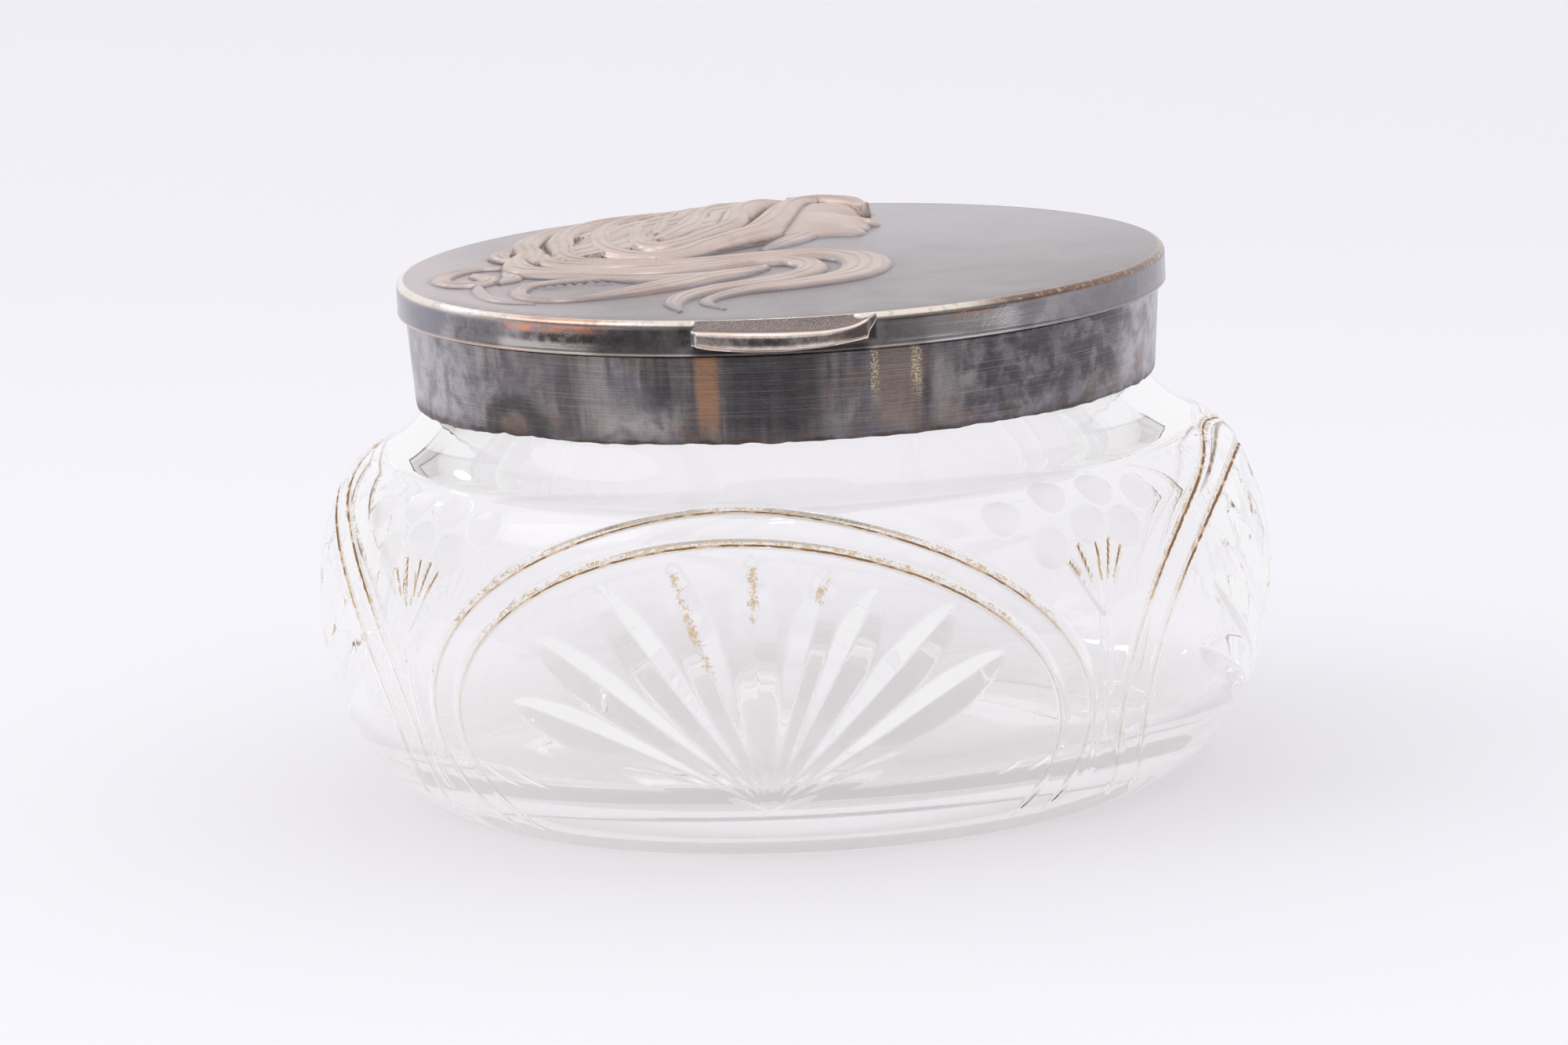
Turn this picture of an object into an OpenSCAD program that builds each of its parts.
// Powder jar: a squat cut-glass bowl, a metal collar cemented on its neck and a hinged metal lid.
// Millimetres. The origin is the middle of the underside, +Z is up and the thumb lift faces -Y.

/* [Glass bowl] */
// Widest diameter of the glass
belly_d = 100; // [92:1:112]
// Height of the widest point above the table
belly_z = 21; // [20:0.5:23]
// Radius of the belly's curve, seen from the side
belly_arc_r = 28; // [26:0.5:32]
// Radius of the curve from the belly down to the base
heel_arc_r = 16; // [15:0.5:18]
// Angle below level at which the heel curve takes over
heel_from = 30; // [26:1:34]
// Radius of the curve over the shoulder
shoulder_arc_r = 7; // [6:0.25:9]
// Angle above level at which the shoulder curve takes over
shoulder_from = 25; // [21:1:29]
// Radius of the hollow curve between shoulder and neck
hollow_arc_r = 12; // [10:0.5:14]
// Diameter of the neck inside the collar
neck_d = 73; // [68:0.2:78]
// Height of the straight part of the neck
neck_h = 2.2; // [1.5:0.1:5]
// Thickness of the glass wall
wall_t = 4; // [3:0.1:5]
// Thickness of the glass floor
floor_t = 6; // [4.5:0.25:8]
// Radius of the inside corner between floor and wall
floor_corner_r = 9; // [6:0.5:11]
// Diameter of the shallow hollow ground under the base
base_hollow_d = 56; // [40:1:62]
// Depth of that hollow
base_hollow_depth = 0.8; // [0.4:0.1:1.5]

/* [Cut pattern] */
// Number of arched panels cut round the belly
panel_n = 4; // [3:1:5]
// Turn of the first panel's middle from the front
panel_turn = -6; // [-45:1:45]
// Height at which the arches are widest
arch_z = 12.5; // [10:0.5:15]
// Rise of the outer arch above that height
arch_rise = 23; // [20:0.2:23.4]
// Gap between the arches of neighbouring panels
arch_gap = 3.2; // [2:0.1:6]
// Distance between the two grooves of an arch
arch_pitch = 2.7; // [2:0.1:4]
// Width of the arch grooves
groove_w = 1.2; // [0.6:0.1:1.6]
// Depth of the arch grooves
groove_depth = 0.45; // [0.2:0.05:0.7]
// Number of leaves in the fan of a panel
leaf_n = 9; // [5:2:11]
// Angle between neighbouring leaves
leaf_angle = 15.5; // [12:0.5:18]
// Height of the fan's root
fan_z = 6.5; // [5:0.25:9]
// Length of the fan's middle leaf
fan_reach = 27; // [20:0.5:28]
// Greatest width of a leaf
leaf_w = 3.8; // [2.5:0.1:4.5]
// Depth of a leaf's mitre cut
leaf_depth = 1.1; // [0.6:0.05:1.4]
// Diameter of the berry dots
berry_d = 4.4; // [3:0.1:5]
// Radius of the round wheel that cuts the berries
berry_wheel_r = 6; // [4:0.25:9]
// Width of the stem lines
stem_w = 0.8; // [0.5:0.1:1.2]
// Depth of the stem lines
stem_depth = 0.35; // [0.2:0.05:0.5]
// Height at which the stems of a spray fork
stem_fork_z = 23.5; // [20:0.5:26]

/* [Collar] */
// Thickness of the collar's sheet metal
collar_t = 0.6; // [0.4:0.1:1]
// Room between the neck and the bottom edge of the collar, filled with cement
collar_room = 1.55; // [1:0.05:2]
// Gap between the collar's bottom edge and the glass it stands over
collar_gap = 0.25; // [0.15:0.05:0.5]
// How much further out the collar's top edge stands than its bottom edge
collar_flare = 0.7; // [0:0.1:1.2]
// Cement between the neck's rim and the collar's ledge
bed_top = 0.9; // [0.5:0.1:1.5]
// How far the ledge stays back from the glass mouth
ledge_back = 0.5; // [0.2:0.1:1.5]
// Thickness of the bezel that stands up inside the lid
bezel_t = 0.7; // [0.5:0.1:1]

/* [Lid] */
// Overhang of the lid beyond the collar's top edge
lid_overhang = 0.75; // [0.6:0.05:1.2]
// Thickness of the lid's sheet metal
lid_t = 0.8; // [0.6:0.1:1]
// Height of the lid's edge
lid_rim_h = 3.6; // [3.2:0.1:5]
// Radius of the lid's rounded top edge
lid_edge_r = 1.1; // [0.9:0.1:1.4]
// Thickness of the ring soldered inside the lid's edge
seat_t = 0.7; // [0.5:0.1:0.9]
// Gap between the closed lid and the collar
seat_gap = 0.1; // [0.05:0.05:0.3]
// Gap all round between the bezel and the ring in the lid
bezel_gap = 0.4; // [0.3:0.05:0.8]
// Gap between the bezel's top and the underside of the lid
bezel_head = 0.6; // [0.3:0.1:1]

/* [Relief] */
// Height of the relief's highest locks above the lid
relief_h = 2.2; // [1:0.1:2.6]
// Depth at which the relief is rooted in the lid
relief_root = 0.35; // [0.2:0.05:0.5]
// Radius of the dome over the head
head_dome_r = 150; // [80:5:250]
// Share of the relief's height that the head has at its crown
head_rise = 0.85; // [0.6:0.05:1]

/* [Thumb lift] */
// Width of the thumb lift along the lid's edge
lift_w = 18.6; // [14:0.2:24]
// How far the thumb lift stands out of the lid's edge
lift_out = 2.2; // [1.6:0.1:3.5]
// Thickness of the thumb lift's lip
lift_lip_t = 1.5; // [1.2:0.1:1.8]
// Height of the lip above the lid's lower edge
lift_up = 1.1; // [0.6:0.1:1.3]

/* [Hinge] */
// Outer radius of the knuckles
knuckle_r = 1.5; // [1.3:0.05:1.8]
// Length of one knuckle
knuckle_l = 3.4; // [2.5:0.1:4.5]
// Gap between neighbouring knuckles
knuckle_gap = 0.25; // [0.15:0.05:0.4]
// Radius of the hinge pin
pin_r = 0.7; // [0.5:0.05:0.9]
// Running clearance around the pin
pin_gap = 0.05; // [0.02:0.01:0.09]
// Least thickness of the two hinge leaves
leaf_t = 0.9; // [0.6:0.1:1.2]
// Height of the leaf on the collar
collar_leaf_h = 4.6; // [3.5:0.1:6]
// Room between the fixed and the turning parts of the hinge
swing_gap = 0.3; // [0.25:0.05:0.5]

/* [Hidden] */
$fn = 128;
arc_step = 5;

// Outer glass curves: centres of the belly, heel, shoulder and neck hollow, each tangent to the next
belly_r = belly_d / 2;
neck_r = neck_d / 2;
belly_c = [belly_r - belly_arc_r, belly_z];
heel_c = belly_c + (belly_arc_r - heel_arc_r) * [cos(heel_from), -sin(heel_from)];
shoulder_c = belly_c + (belly_arc_r - shoulder_arc_r) * [cos(shoulder_from), sin(shoulder_from)];
hollow_x = neck_r + hollow_arc_r;
hollow_rise = sqrt(pow(shoulder_arc_r + hollow_arc_r, 2) - pow(hollow_x - shoulder_c.x, 2));
hollow_c = [hollow_x, shoulder_c.y + hollow_rise];
heel_end = asin(heel_c.y / heel_arc_r);
hollow_from = atan2(hollow_rise, hollow_x - shoulder_c.x);

// Inner glass curves keep the wall's thickness down to a rounded corner with the floor
inner_belly_r = belly_arc_r - wall_t;
corner_z = floor_t + floor_corner_r;
corner_x = belly_c.x + sqrt(pow(inner_belly_r - floor_corner_r, 2) - pow(belly_z - corner_z, 2));
corner_from = asin((belly_z - corner_z) / (inner_belly_r - floor_corner_r));
mouth_r = neck_r - wall_t;

// Heights of the neck, the collar and the lid
neck_z = hollow_c.y;
neck_top = neck_z + neck_h;
collar_z = neck_z - sqrt(pow(hollow_arc_r, 2) - pow(hollow_arc_r - collar_room + collar_gap, 2));
cement_z = collar_z + collar_gap;
ledge_z = neck_top + bed_top;
collar_top = ledge_z + collar_t;
lid_z = collar_top + seat_gap;
lid_top = lid_z + lid_rim_h;

// Radii of the collar and the lid
collar_foot_r = neck_r + collar_room + collar_t;
collar_top_r = collar_foot_r + collar_flare;
ledge_r = mouth_r + ledge_back;
lid_r = collar_top_r + lid_overhang;
seat_r = lid_r - lid_t;
bezel_r = seat_r - seat_t - bezel_gap;
bezel_top = lid_top - lid_t - bezel_head;

// Hinge: the pin's axis runs along X at the seam, behind the leaves
leaf_y = lid_r + leaf_t;
hinge_y = leaf_y + swing_gap + knuckle_r;
hinge_z = collar_top + seat_gap / 2;
knuckle_pitch = knuckle_l + knuckle_gap;
hinge_w = 5 * knuckle_l + 4 * knuckle_gap;
pin_head_r = pin_r + 0.35;
pin_head_t = 0.4;

// Cut pattern: panel angle, half angle and end of an arch, and the stations of grooves and leaves
panel_a = 360 / panel_n;
arch_half = panel_a / 2 - on_belly(arch_gap / 2);
arch_end = asin((fan_z - 1 - arch_z) / arch_rise);
arch_steps = 20;
LEAF_STATIONS = [[0.05, 0.06], [0.28, 0.5], [0.48, 0.88], [0.62, 1], [0.82, 0.72], [1, 0]];

// Berry dots of a spray: angle from its middle and height
BERRIES = [[-12.6, 33.6], [-4.8, 35], [2.9, 35], [9.6, 34], [-7, 30.2], [-0.8, 31.6], [5, 30.8]];

// Stem tops of a spray: angle from its middle and height
STEM_TOPS = [[-4.8, 28.6], [-3, 30], [-0.3, 30], [1.7, 30], [3.4, 28.9]];

// Locks of hair on the lid, each a run of points: x and y for a lid of radius 40, share of the relief's height,
// half width
LOCKS = [
    // Mass of hair behind the head
    [[-1, 35, 0.4, 1], [-5, 30.5, 0.66, 4.5], [-9.5, 23, 0.68, 8], [-14.5, 14.5, 0.52, 8.8],
        [-19.5, 8, 0.36, 6], [-23, 3, 0.26, 1.6]],
    // Outer lock of the loop behind the neck
    [[5.5, 33.4, 0.6, 0.5], [2.6, 31, 0.94, 1.6], [0.8, 26, 1, 2.2], [-0.8, 19.4, 0.88, 2.4],
        [-2.2, 14.4, 0.8, 2.4], [-5, 11, 0.7, 2.2], [-8.2, 7.4, 0.6, 2], [-10.4, 4.4, 0.52, 2],
        [-13.4, 2.4, 0.48, 2], [-16.4, 4.6, 0.5, 1.9], [-18.4, 9, 0.55, 1.7], [-18.8, 14.8, 0.6, 1.6],
        [-18.4, 21.4, 0.62, 1.5], [-15.8, 27.4, 0.6, 1.2], [-11, 32.4, 0.45, 0.4]],
    // Lock inside it
    [[1.4, 34.8, 0.5, 0.4], [-2, 32, 0.86, 1.2], [-4.2, 26, 0.96, 1.7], [-5, 18.9, 0.84, 1.9],
        [-7, 13.9, 0.76, 2], [-9.6, 9.4, 0.68, 2.2], [-12.6, 7, 0.62, 2], [-14.6, 9.8, 0.62, 1.5],
        [-15, 15.1, 0.66, 1.4], [-14.6, 21.4, 0.68, 1.3], [-12, 27, 0.66, 1], [-8, 31.4, 0.6, 0.4]],
    // Third lock of the loop
    [[-3, 34.6, 0.5, 0.4], [-6.4, 31, 0.8, 1.2], [-8.4, 25.2, 0.84, 1.8], [-9.6, 18.6, 0.78, 2.3],
        [-11.4, 13.4, 0.72, 2.2], [-12.2, 10.4, 0.68, 1]],
    // Innermost lock
    [[-6.5, 33.4, 0.5, 0.4], [-9.6, 29.8, 0.7, 1.2], [-11.6, 24.4, 0.74, 1.7], [-12.4, 18.4, 0.72, 1.6],
        [-12.8, 13.8, 0.68, 0.8]],
    // Long lock on the left
    [[-14, 33, 0.35, 0.4], [-18.6, 28.4, 0.5, 1], [-22, 22.8, 0.52, 1.5], [-23.2, 16.6, 0.5, 1.7],
        [-22.6, 10.5, 0.46, 1.7], [-22.4, 6, 0.42, 1.6], [-21, 2.2, 0.4, 1.5], [-16.8, 0.2, 0.38, 1.2],
        [-13.5, 0.3, 0.36, 0.4]],
    // Outermost lock on the left
    [[-18.5, 30.4, 0.25, 0.4], [-22.8, 25.6, 0.4, 1], [-25.8, 19.8, 0.42, 1.5], [-27, 14, 0.42, 1.7],
        [-26.2, 9.4, 0.42, 1.7], [-25.9, 5.2, 0.4, 1.3], [-25.6, 2, 0.38, 0.5]],
    // Lower part of the long S, on the inside of its turn
    [[-27.3, 7.4, 0.38, 0.6], [-27.6, 2.7, 0.36, 1.6], [-26, -2.3, 0.34, 2.2], [-21, -5.4, 0.33, 2.4],
        [-14, -6.2, 0.32, 2.4], [-8, -5, 0.32, 2.3], [-3, -2.8, 0.32, 2], [1, -2.9, 0.31, 1.9],
        [3.2, -6.7, 0.31, 1.7], [2.4, -11.6, 0.3, 1.8], [-1.5, -16, 0.28, 1.9], [-6.5, -19.3, 0.26, 1.9],
        [-9.8, -23.2, 0.23, 1.5], [-10.9, -27.7, 0.18, 1], [-10.3, -32, 0.08, 0.3]],
    // Upper part of the long S, on the outside of its turn
    [[-24.5, 5.7, 0.36, 0.6], [-23.8, 1.4, 0.38, 1.6], [-19, -1.8, 0.38, 2], [-12, -2.2, 0.37, 2.1],
        [-6, -0.9, 0.36, 2], [0, 1.1, 0.34, 2.1], [5, 0.4, 0.33, 2.3], [8.4, -3.4, 0.33, 2.6],
        [8.8, -8.8, 0.32, 2.7], [7, -14.2, 0.3, 2.5], [2, -18.4, 0.28, 2], [-3, -20.8, 0.25, 1.5],
        [-6.4, -24.2, 0.2, 1], [-7.6, -27.8, 0.15, 0.7], [-6, -31.8, 0.07, 0.3]],
    // Rim of the petal
    [[-1.8, -6.6, 0.22, 0.6], [-4.5, -9.2, 0.27, 1.9], [-8.5, -12.4, 0.28, 2.8], [-12, -15.5, 0.26, 2.8],
        [-15.5, -18.4, 0.22, 2.2], [-19.5, -20.8, 0.18, 1.3], [-23.5, -21.4, 0.17, 1],
        [-26.2, -18.7, 0.18, 0.9], [-26.9, -14.9, 0.2, 0.9], [-25.6, -11.6, 0.22, 0.8],
        [-22.5, -9.8, 0.22, 0.7], [-18, -9, 0.2, 0.6]],
    // Curl at the left edge
    [[-29.2, 1.7, 0.16, 0.3], [-32, 1.8, 0.2, 0.8], [-34.4, -1, 0.22, 1], [-35.2, -5, 0.22, 1],
        [-33.6, -8.4, 0.22, 1], [-31, -8.6, 0.22, 1], [-30.2, -5.9, 0.24, 1.1], [-31.6, -3.2, 0.2, 0.6]],
    // Bud in the curl
    [[-28.6, -2.8, 0.18, 0.4], [-27.8, -5.9, 0.24, 1.1], [-28.8, -7.8, 0.18, 0.4]],
    // Stem under the curl
    [[-31.2, -8.9, 0.12, 0.4], [-31, -12.9, 0.16, 0.7], [-30, -17.5, 0.16, 0.7], [-28.2, -20.7, 0.14, 0.6],
        [-25.6, -22.6, 0.08, 0.3]],
    // Knob on the left
    [[-28, 13.4, 0.3, 0.4], [-29.4, 9.9, 0.34, 1.2], [-29.2, 7.4, 0.3, 1], [-28, 5.6, 0.25, 0.3]],
    // Hair over the brow
    [[1.6, 34.6, 0.7, 0.6], [4.6, 33.2, 0.86, 1.4], [7.6, 31, 0.86, 1.5], [9.2, 28.6, 0.72, 0.7]],
    // Neck
    [[3.4, 16, 0.3, 1.6], [1.6, 12.6, 0.26, 1.8], [0, 9.4, 0.2, 1.4], [-1.6, 6.6, 0.1, 0.5]],
    // Blade of the petal
    [[-17.5, -9.4, 0.2, 0.5], [-12.5, -11, 0.25, 1.9], [-7.5, -10.8, 0.27, 2], [-3, -8.1, 0.24, 0.6]]];

// Outline of the head in profile: brow, nose, lips and chin by thirds, then the throat and the hair line
HEAD = [[2.6, 31.7], [6.2, 31.1], [8.4, 29.3], [9.2, 27], [9, 25.3], [8.7, 24.3], [9.8, 22.4], [11, 20.9],
    [10.8, 20.3], [9.6, 20.1], [9.8, 19.3], [10.1, 18.8], [9.6, 18.3], [9.9, 17.8], [9.7, 17.1],
    [9.2, 16.6], [9.5, 15.5], [9.1, 14.3], [7.7, 13.7], [5.5, 14], [4, 13.1], [2.2, 12.6], [-0.6, 13],
    [-1.4, 18], [-0.6, 26]];

// Points on a circle from angle a to angle b
function arc(c, r, a, b, step = arc_step) =
    let (n = max(1, ceil(abs(b - a) / step)))
    [for (i = [0:n]) let (t = a + (b - a) * i / n) c + r * [cos(t), sin(t)]];

// Radius of the collar's outer face at height z
function collar_r(z) = collar_foot_r + collar_flare * (z - collar_z) / (collar_top - collar_z);

// Radius of the glass outside at height z
function glass_r(z) =
    let (
        heel_top = heel_c.y - heel_arc_r * sin(heel_from),
        shoulder_z = shoulder_c.y + shoulder_arc_r * sin(shoulder_from),
        hollow_z = shoulder_c.y + shoulder_arc_r * sin(hollow_from))
    z < heel_top ? heel_c.x + sqrt(pow(heel_arc_r, 2) - pow(z - heel_c.y, 2)) :
    z < shoulder_z ? belly_c.x + sqrt(pow(belly_arc_r, 2) - pow(z - belly_z, 2)) :
    z < hollow_z ? shoulder_c.x + sqrt(pow(shoulder_arc_r, 2) - pow(z - shoulder_c.y, 2)) :
    hollow_c.x - sqrt(pow(hollow_arc_r, 2) - pow(z - hollow_c.y, 2));

// Point of the glass at angle a from a panel's middle and height z
function on_glass(a, z) = [glass_r(z) * cos(a), glass_r(z) * sin(a), z];

// Angle that a length takes up round the belly
function on_belly(l) = l / belly_r * 180 / PI;

// Outward normal of the glass at a point on it
function glass_normal(p) =
    let (
        t = atan2(p.y, p.x),
        rise = [glass_r(p.z + 0.2) - glass_r(p.z - 0.2), 0.4])
    unit([rise.y * cos(t), rise.y * sin(t), -rise.x]);

function unit(v) = v / norm(v);

// A smooth run through the points of p, with n steps from each point to the next
function smooth(p, n) = concat(
    [for (i = [0:len(p) - 2], k = [0:n - 1])
        let (
            a = p[max(i - 1, 0)],
            b = p[i],
            c = p[i + 1],
            d = p[min(i + 2, len(p) - 1)],
            t = k / n)
        b + t / 2 * (c - a) + t * t / 2 * (2 * a - 5 * b + 4 * c - d) +
            t * t * t / 2 * (3 * b - a - 3 * c + d)],
    [p[len(p) - 1]]);

glass_outside = concat(
    arc(heel_c, heel_arc_r, -heel_end, -heel_from),
    arc(belly_c, belly_arc_r, -heel_from + arc_step, shoulder_from),
    arc(shoulder_c, shoulder_arc_r, shoulder_from + 2 * arc_step, hollow_from),
    arc(hollow_c, hollow_arc_r, hollow_from + 180 + 2 * arc_step, 180),
    [[neck_r, neck_top]]);

glass_inside = concat(
    [[mouth_r, neck_top]],
    arc(hollow_c, hollow_arc_r + wall_t, 180, hollow_from + 180 + 2 * arc_step),
    arc(shoulder_c, shoulder_arc_r - wall_t, hollow_from, shoulder_from + 2 * arc_step),
    arc(belly_c, inner_belly_r, shoulder_from, arc_step - corner_from),
    arc([corner_x, corner_z], floor_corner_r, -corner_from, -90),
    [[0, floor_t]]);

lid_outside = concat(
    [[0, lid_z], [lid_r, lid_z]],
    arc([lid_r - lid_edge_r, lid_top - lid_edge_r], lid_edge_r, 0, 90, 10),
    [[0, lid_top]]);

module glass_section() {
    polygon(concat(
        [[0, base_hollow_depth], [base_hollow_d / 2 - base_hollow_depth, base_hollow_depth]],
        [[base_hollow_d / 2, 0]],
        glass_outside,
        glass_inside));
}

// A V groove along a run of points on the glass, depth at each point, half as wide as slope times the depth
module v_cut(path, depth, slope) {
    n = len(path) - 1;
    lift = 0.3;
    points = [for (i = [0:n])
        let (
            ahead = unit(path[min(i + 1, n)] - path[max(i - 1, 0)]),
            up = glass_normal(path[i]),
            side = (depth[i] + lift) * slope * unit(cross(ahead, up)),
            low = path[i] - depth[i] * up,
            high = path[i] + lift * up)
        each [low, high + side, high - side]];
    polyhedron(points, concat(
        [[0, 2, 1], [3 * n, 3 * n + 1, 3 * n + 2]],
        [for (i = [0:n - 1], k = [0:2])
            let (j = 3 * i + k, m = 3 * i + (k + 1) % 3)
            each [[j, m, j + 3], [m, m + 3, j + 3]]]));
}

// A groove of an arch, set in by pitch from the outer one
module arch_groove(pitch) {
    turns = [for (i = [0:arch_steps]) arch_end + (180 - 2 * arch_end) * i / arch_steps];
    v_cut(
        [for (t = turns)
            on_glass(-(arch_half - on_belly(1.4 * pitch)) * cos(t), arch_z + (arch_rise - pitch) * sin(t))],
        [for (t = turns) groove_depth],
        groove_w / groove_depth / 2);
}

// A leaf of the fan: a mitre cut at angle a from upright, widest beyond its middle
module mitre_leaf(a, reach) {
    v_cut(
        [for (s = LEAF_STATIONS)
            on_glass(on_belly(s[0] * reach * sin(a)), fan_z + 0.96 * s[0] * reach * cos(a))],
        [for (s = LEAF_STATIONS) s[1] * leaf_depth],
        leaf_w / leaf_depth / 2);
}

module fan() {
    for (i = [0:leaf_n - 1])
        let (a = (i - (leaf_n - 1) / 2) * leaf_angle)
        mitre_leaf(a, fan_reach + 2.5 * pow(sin(a), 2));
}

module berry(a, z) {
    p = on_glass(a, z);
    depth = pow(berry_d / 2, 2) * (1 / berry_wheel_r + 1 / belly_arc_r) / 2;
    translate(p + (berry_wheel_r - depth) * glass_normal(p))
        sphere(r = berry_wheel_r);
}

// A stem line between two points of the glass, given as angle and height
module stem(from, to) {
    steps = [0:0.25:1];
    v_cut(
        [for (s = steps) on_glass(from[0] + s * (to[0] - from[0]), from[1] + s * (to[1] - from[1]))],
        [for (s = steps) stem_depth],
        stem_w / stem_depth / 2);
}

// A berry spray: seven dots on stems that fork from one trunk
module spray() {
    fork = [-1, stem_fork_z];
    for (b = BERRIES)
        berry(b[0], b[1]);
    stem([-0.6, fan_z + 1], fork);
    for (t = STEM_TOPS)
        stem(fork, t);
}

module panel_cuts() {
    arch_groove(0);
    arch_groove(arch_pitch);
    fan();
    rotate([0, 0, panel_a / 2])
        spray();
}

module glass_bowl() {
    color("white", 0.4)
        difference() {
            rotate_extrude()
                glass_section();
            for (i = [0:panel_n - 1])
                rotate([0, 0, panel_turn - 90 + i * panel_a])
                    panel_cuts();
        }
}

module neck_cement() {
    color("gainsboro")
        rotate_extrude()
            difference() {
                polygon([
                    [neck_r - wall_t / 2, cement_z],
                    [collar_r(cement_z) - collar_t, cement_z],
                    [collar_r(ledge_z) - collar_t, ledge_z],
                    [ledge_r, ledge_z],
                    [ledge_r, neck_top],
                    [neck_r - wall_t / 2, neck_top]]);
                glass_section();
            }
}

module collar_band() {
    color("silver")
        rotate_extrude()
            polygon([
                [collar_foot_r - collar_t, collar_z],
                [collar_foot_r, collar_z],
                [collar_top_r, collar_top],
                [ledge_r, collar_top],
                [ledge_r, ledge_z],
                [collar_r(ledge_z) - collar_t, ledge_z]]);
}

module collar_bezel() {
    color("silver")
        rotate_extrude()
            translate([bezel_r - bezel_t, collar_top])
                square([bezel_t, bezel_top - collar_top]);
}

// Knuckles number first, first + 2 and so on, each with its arm towards the leaf
module knuckles(first, side) {
    for (i = [first:2:4])
        translate([(i - 2) * knuckle_pitch, hinge_y, hinge_z]) {
            rotate([0, 90, 0])
                cylinder(h = knuckle_l, r = knuckle_r, center = true);
            translate([-knuckle_l / 2, leaf_y - hinge_y - leaf_t / 2, side > 0 ? 0.2 : -1.1])
                cube([knuckle_l, hinge_y - leaf_y + leaf_t / 2, 0.9]);
        }
}

module pin_bore() {
    translate([0, hinge_y, hinge_z])
        rotate([0, 90, 0])
            cylinder(h = hinge_w + 2, r = pin_r + pin_gap, center = true);
}

module collar_hinge_leaf() {
    color("darkgray")
        difference() {
            union() {
                knuckles(0, -1);
                translate([-hinge_w / 2, collar_foot_r - 3, lid_z - swing_gap - collar_leaf_h])
                    cube([hinge_w, leaf_y - collar_foot_r + 3, collar_leaf_h]);
            }
            rotate_extrude()
                polygon([
                    [0, collar_z],
                    [collar_foot_r, collar_z],
                    [collar_top_r, collar_top],
                    [0, collar_top]]);
            pin_bore();
        }
}

module hinge_pin() {
    color("gray")
        translate([0, hinge_y, hinge_z])
            rotate([0, 90, 0]) {
                cylinder(h = hinge_w + 2 * pin_head_t, r = pin_r, center = true);
                for (side = [-1, 1])
                    translate([0, 0, side * (hinge_w + pin_head_t) / 2])
                        cylinder(h = pin_head_t, r = pin_head_r, center = true);
            }
}

// A lock of hair: a rounded ridge along a smooth line, its foot sunk in the lid by root
module hair_lock(points, root) {
    p = smooth(points, 2);
    n = len(p) - 1;
    place = [for (q = p) lid_r / 40 * [q[0], q[1]]];
    section = [[-1, -root], [-0.95, 0.2], [-0.55, 0.85], [0, 1], [0.55, 0.85], [0.95, 0.2], [1, -root]];
    m = len(section);
    corners = [for (i = [0:n])
        let (
            ahead = unit(place[min(i + 1, n)] - place[max(i - 1, 0)]),
            across = p[i][3] * [ahead.y, -ahead.x])
        for (c = section)
            let (q = place[i] + c.x * across)
            [q.x, q.y, lid_top + (c.y < 0 ? c.y : c.y * p[i][2] * relief_h)]];
    polyhedron(corners, concat(
        [for (k = [1:m - 2]) each [[0, k, k + 1], [m * n, m * n + k + 1, m * n + k]]],
        [for (i = [0:n - 1], k = [0:m - 1])
            let (j = m * i + k, l = m * i + (k + 1) % m)
            each [[j, j + m, l], [l, j + m, l + m]]]));
}

// The head: its profile under a shallow dome that is highest at the crown and low at the jaw
module head() {
    crown = [2, 34];
    intersection() {
        translate([0, 0, lid_top - relief_root])
            linear_extrude(height = relief_h + relief_root)
                polygon(lid_r / 40 * HEAD);
        translate([lid_r / 40 * crown.x, lid_r / 40 * crown.y, lid_top + head_rise * relief_h - head_dome_r])
            sphere(r = head_dome_r);
    }
}

module lid_cover() {
    color("rosybrown") {
        rotate_extrude()
            difference() {
                polygon(lid_outside);
                translate([0, lid_z - 1])
                    square([seat_r, lid_rim_h - lid_t + 1]);
            }
        head();
        for (i = [0:len(LOCKS) - 1])
            hair_lock(LOCKS[i], relief_root - 0.015 * i);
    }
}

module lid_seat_ring() {
    color("silver")
        rotate_extrude()
            translate([seat_r - seat_t, lid_z])
                square([seat_t, lid_rim_h - lid_t]);
}

module lid_hinge_leaf() {
    color("darkgray")
        difference() {
            union() {
                knuckles(1, 1);
                translate([-hinge_w / 2, seat_r - 2, lid_z + swing_gap])
                    cube([hinge_w, leaf_y - seat_r + 2, lid_rim_h - lid_edge_r - swing_gap]);
            }
            translate([0, 0, lid_z - 1])
                cylinder(h = lid_rim_h + 2, r = lid_r);
            pin_bore();
        }
}

// Section of the thumb lift: a blunt lip with a dished top, x measured outwards from the lid's edge
module lift_section() {
    nose_r = lift_lip_t / 2;
    polygon(concat(
        [[0, lift_up]],
        arc([lift_out - nose_r, lift_up + nose_r], nose_r, -90, 60, 15),
        [[lift_out - 1.1 * nose_r, lift_up + lift_lip_t - 0.15]],
        [[0.3, lift_up + lift_lip_t - 0.05], [0, lid_rim_h - 0.35]]));
}

module thumb_lift() {
    half = asin((lift_w / 2 - lift_out) / lid_r);
    color("silver")
        difference() {
            translate([0, 0, lid_z]) {
                rotate([0, 0, -90 - half])
                    rotate_extrude(angle = 2 * half) {
                        translate([lid_r, 0])
                            lift_section();
                        translate([lid_r - 1.5, lift_up])
                            square([1.5, lid_rim_h - 0.35 - lift_up]);
                    }
                for (side = [-1, 1])
                    rotate([0, 0, side * half - 90])
                        translate([lid_r, 0, 0])
                            rotate_extrude()
                                lift_section();
            }
            rotate_extrude()
                polygon(lid_outside);
        }
}

glass_bowl();
neck_cement();
collar_band();
collar_bezel();
collar_hinge_leaf();
hinge_pin();
lid_cover();
lid_seat_ring();
lid_hinge_leaf();
thumb_lift();
